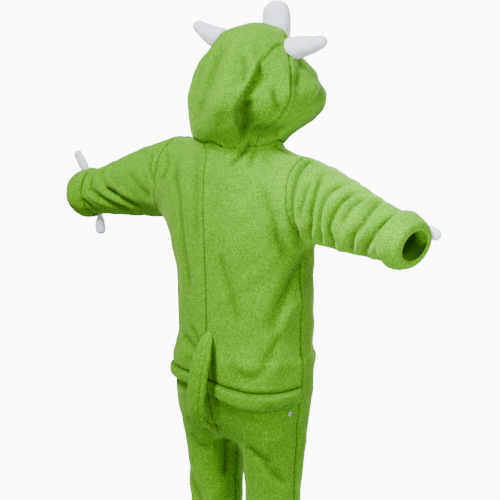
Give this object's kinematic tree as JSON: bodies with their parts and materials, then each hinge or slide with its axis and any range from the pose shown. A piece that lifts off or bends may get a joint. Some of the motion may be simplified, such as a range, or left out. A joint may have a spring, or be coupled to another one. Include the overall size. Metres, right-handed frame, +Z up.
{
  "type": "hooded one-piece pajamas",
  "caption": "Child's hooded one-piece plush pajamas in green with stuffed white horns and claws, a tail and a back flap, in a worn pose with the arms spread.",
  "frame": {"origin": "middle of the neck, where the wearer carries the garment", "axes": "+Z up, the wearer faces -Y, the wearer's left is +X"},
  "size_m": [0.9421, 0.3283, 1.1812],
  "materials": {
    "green_plush": "soft pile",
    "white_plush": "soft pile",
    "snap_metal": "satin"
  },
  "bodies": {
    "root": {"back_left": "green_plush", "back_right": "green_plush", "flap_band_left": "green_plush", "flap_band_right": "green_plush", "front_left": "green_plush", "front_right": "green_plush", "front_placket": "green_plush", "seat_left": "green_plush", "seat_right": "green_plush", "sleeve_left": "green_plush", "sleeve_right": "green_plush", "cuff_left": "green_plush", "cuff_right": "green_plush", "hood_back": "green_plush", "hood_front": "green_plush", "hood_hem": "green_plush", "tail": "green_plush", "horn_left": "white_plush", "horn_right": "white_plush", "horn_middle": "white_plush", "claw_left_top": "white_plush", "claw_left_under": "white_plush", "claw_right_front": "white_plush", "snap_left": "snap_metal", "snap_right": "snap_metal"}
  },
  "joints": []
}
